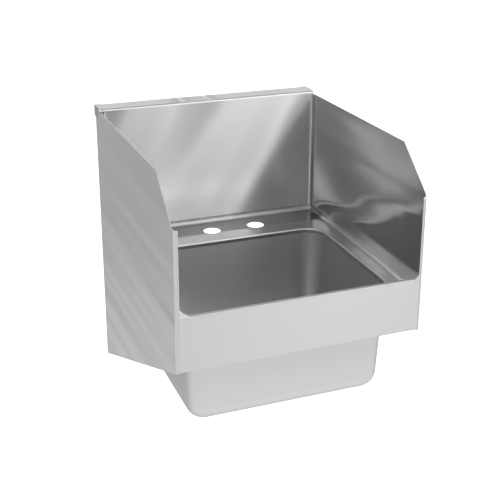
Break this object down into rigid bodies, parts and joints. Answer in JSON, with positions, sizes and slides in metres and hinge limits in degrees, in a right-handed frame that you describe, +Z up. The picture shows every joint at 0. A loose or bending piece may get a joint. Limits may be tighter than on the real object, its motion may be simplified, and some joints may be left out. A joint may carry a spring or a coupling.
{
  "type": "hand basin",
  "caption": "Wall-hung stainless hand basin with a high back splash, clipped side panels, a coved deck with faucet holes, a drawn bowl and a lift-out basket strainer drain",
  "frame": {"origin": "on the wall plane, midway between the two screws of the wall hanger", "axes": "+X to the right seen from the front, +Y into the wall, +Z up"},
  "size_m": [0.4856, 0.5525, 0.586],
  "materials": {
    "satin_steel": "fine brushed satin stainless steel",
    "weld_steel": "stainless weld fill, roughly ground",
    "galvanised_steel": "dull galvanised sheet steel",
    "polished_steel": "polished stainless steel",
    "cast_zinc": "dull die-cast zinc",
    "black_rubber": "matt black rubber",
    "pressed_fibre": "pressed fibre board"
  },
  "bodies": {
    "basin": {"back_splash": "satin_steel", "deck": "satin_steel", "bowl": "satin_steel", "front_apron": "satin_steel", "left_end_cap": "satin_steel", "right_end_cap": "satin_steel", "left_side_panel": "satin_steel", "right_side_panel": "satin_steel", "left_corner_gusset": "weld_steel", "right_corner_gusset": "weld_steel", "wall_hanger": "galvanised_steel", "drain_body": "polished_steel", "outlet_tube": "polished_steel", "drain_gasket": "black_rubber", "drain_friction_ring": "pressed_fibre", "drain_locknut": "cast_zinc"},
    "basket": {"strainer_basket": "polished_steel", "basket_post": "polished_steel", "basket_stopper": "black_rubber", "post_nut": "polished_steel"}
  },
  "joints": [
    {"name": "basket_lift", "type": "slide", "parent": "basin", "child": "basket", "axis": [0, 0, 1], "range_m": [0, 0.3]}
  ]
}
